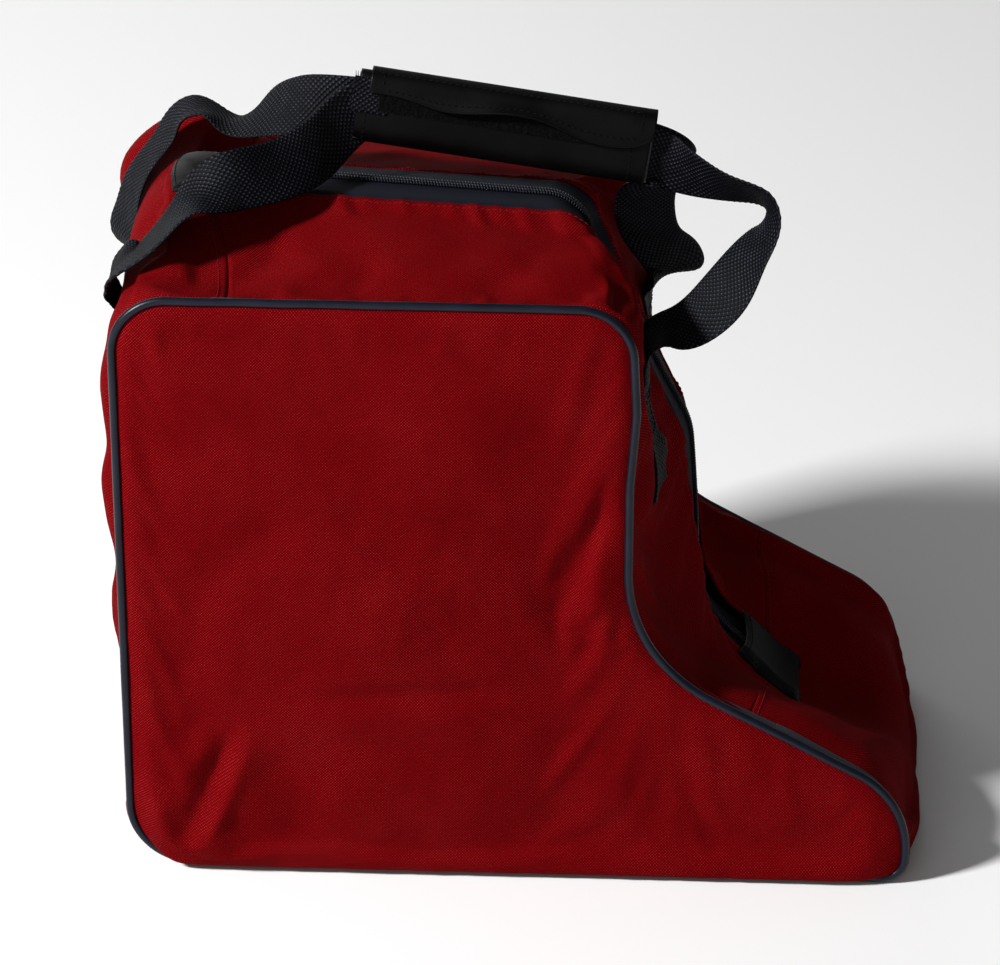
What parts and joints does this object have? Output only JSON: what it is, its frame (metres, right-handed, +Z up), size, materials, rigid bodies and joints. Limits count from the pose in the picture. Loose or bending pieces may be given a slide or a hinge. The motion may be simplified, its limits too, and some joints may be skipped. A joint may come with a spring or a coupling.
{
  "type": "skate bag",
  "caption": "L-shaped boot and skate bag with a curved zipped gusset, piped side panels and two webbing handles joined by a hook-and-loop grip wrap.",
  "frame": {"origin": "middle of the flat underside of the base", "axes": "+X towards the toe of the bag, +Y across it away from the near side, +Z up"},
  "size_m": [0.4213, 0.2244, 0.3978],
  "materials": {
    "red_fabric": "twill-woven polyester, matt with a faint sheen",
    "piping": "smooth vinyl bead, soft gloss",
    "binding": "folded binding tape",
    "board": "plain stiffener board",
    "black_vinyl": "vinyl leatherette, fine grain",
    "zip_tape": "herringbone zip tape",
    "zip_coil": "nylon coil",
    "zip_metal": "black enamelled zinc",
    "webbing": "coarse woven webbing",
    "thread": "polyester thread",
    "foam": "closed-cell foam",
    "hook_and_loop": "fuzzy hook-and-loop tape"
  },
  "bodies": {
    "bag": {"base_panel": "red_fabric", "back_gusset": "red_fabric", "toe_gusset": "red_fabric", "zip_gusset_near": "red_fabric", "zip_gusset_far": "red_fabric", "side_panel_near": "red_fabric", "side_panel_far": "red_fabric", "piping_near": "piping", "piping_far": "piping", "seam_binding_near": "binding", "seam_binding_far": "binding", "base_board": "board", "zip_patch_back": "black_vinyl", "zip_patch_toe": "black_vinyl", "zip_tape_near": "zip_tape", "zip_tape_far": "zip_tape", "zip_coil_near": "zip_coil", "zip_coil_far": "zip_coil", "strap_near_front_end": "webbing", "strap_near_back_end": "webbing", "strap_far_front_end": "webbing", "strap_far_back_end": "webbing", "strap_stitching": "thread"},
    "slider": {"zip_slider": "zip_metal"},
    "pull": {"zip_pull": "zip_metal"},
    "handle": {"strap_near_front_run": "webbing", "strap_near_back_run": "webbing", "strap_far_front_run": "webbing", "strap_far_back_run": "webbing", "strap_near_held_run": "webbing", "strap_far_held_run": "webbing", "grip_foam": "foam", "grip_wrap": "black_vinyl", "grip_loop_strip": "hook_and_loop"},
    "flap": {"grip_flap": "black_vinyl", "grip_hook_strip": "hook_and_loop"}
  },
  "joints": [
    {"name": "zip_slide", "type": "slide", "parent": "bag", "child": "slider", "axis": [0.9987, 0, -0.0508], "range_m": [0, 0.118]},
    {"name": "zip_pull_swing", "type": "hinge", "parent": "slider", "child": "pull", "pos_m": [-0.12978, 0, 0.34538], "axis": [0, 1, 0], "range_deg": [0, 170]},
    {"name": "handle_swing", "type": "hinge", "parent": "bag", "child": "handle", "pos_m": [0, 0, 0.3], "axis": [1, 0, 0], "range_deg": [-30, 30], "stiffness_Nm_per_rad": 0.3, "deforming": ["strap_near_front_run", "strap_near_back_run", "strap_far_front_run", "strap_far_back_run"]},
    {"name": "grip_flap_open", "type": "hinge", "parent": "handle", "child": "flap", "pos_m": [-0.01041, -0.006, 0.38706], "axis": [-0.9896, 0, 0.1438], "range_deg": [0, 150]}
  ]
}
